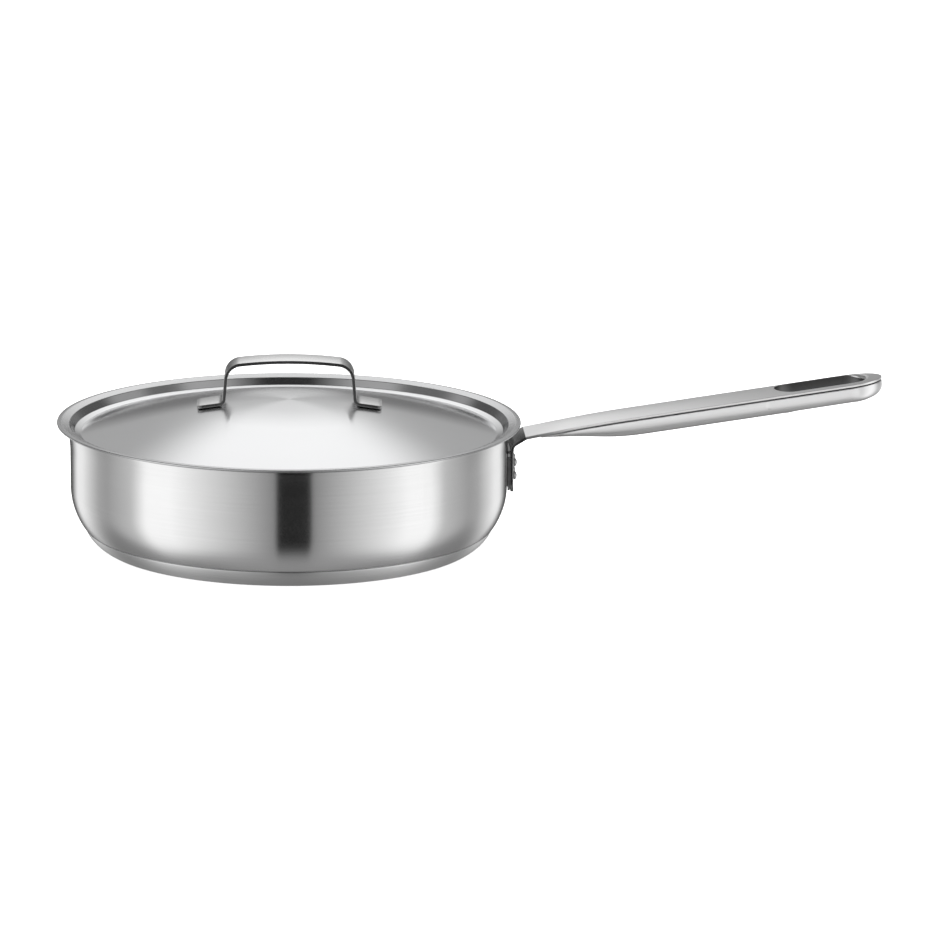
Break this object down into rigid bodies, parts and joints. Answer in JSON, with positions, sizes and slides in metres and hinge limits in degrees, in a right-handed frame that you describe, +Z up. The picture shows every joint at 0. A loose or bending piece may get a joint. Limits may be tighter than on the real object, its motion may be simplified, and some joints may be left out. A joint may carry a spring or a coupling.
{
  "type": "saute pan with lid",
  "caption": "Shallow straight-walled stainless saute pan on a capsule base, with a long riveted hollow handle that has a hanging slot, and a stepped domed lid with a strap handle.",
  "frame": {"origin": "centre of the flat underside of the base", "axes": "+Z up out of the pan, +X along the long handle"},
  "size_m": [0.4956, 0.2776, 0.1113],
  "materials": {
    "pan_steel": "fine satin, brushed round the wall",
    "core_aluminium": "plain rolled",
    "base_steel": "satin",
    "handle_steel": "satin, brushed along the handle",
    "rivet_steel": "satin",
    "lid_steel": "spun satin with bright rings",
    "strap_steel": "satin, brushed along the strap"
  },
  "bodies": {
    "pan": {"pan_body": "pan_steel", "base_core": "core_aluminium", "base_cap": "base_steel", "handle_backing_plate": "handle_steel", "handle_top": "handle_steel", "handle_underside": "handle_steel", "rivet_lower_near": "rivet_steel", "rivet_lower_far": "rivet_steel", "rivet_upper_near": "rivet_steel", "rivet_upper_far": "rivet_steel"},
    "lid": {"lid_shell": "lid_steel", "lid_handle": "strap_steel"}
  },
  "joints": [
    {"name": "lid_lift", "type": "slide", "parent": "pan", "child": "lid", "axis": [0, 0, 1], "range_m": [0, 0.12]}
  ]
}
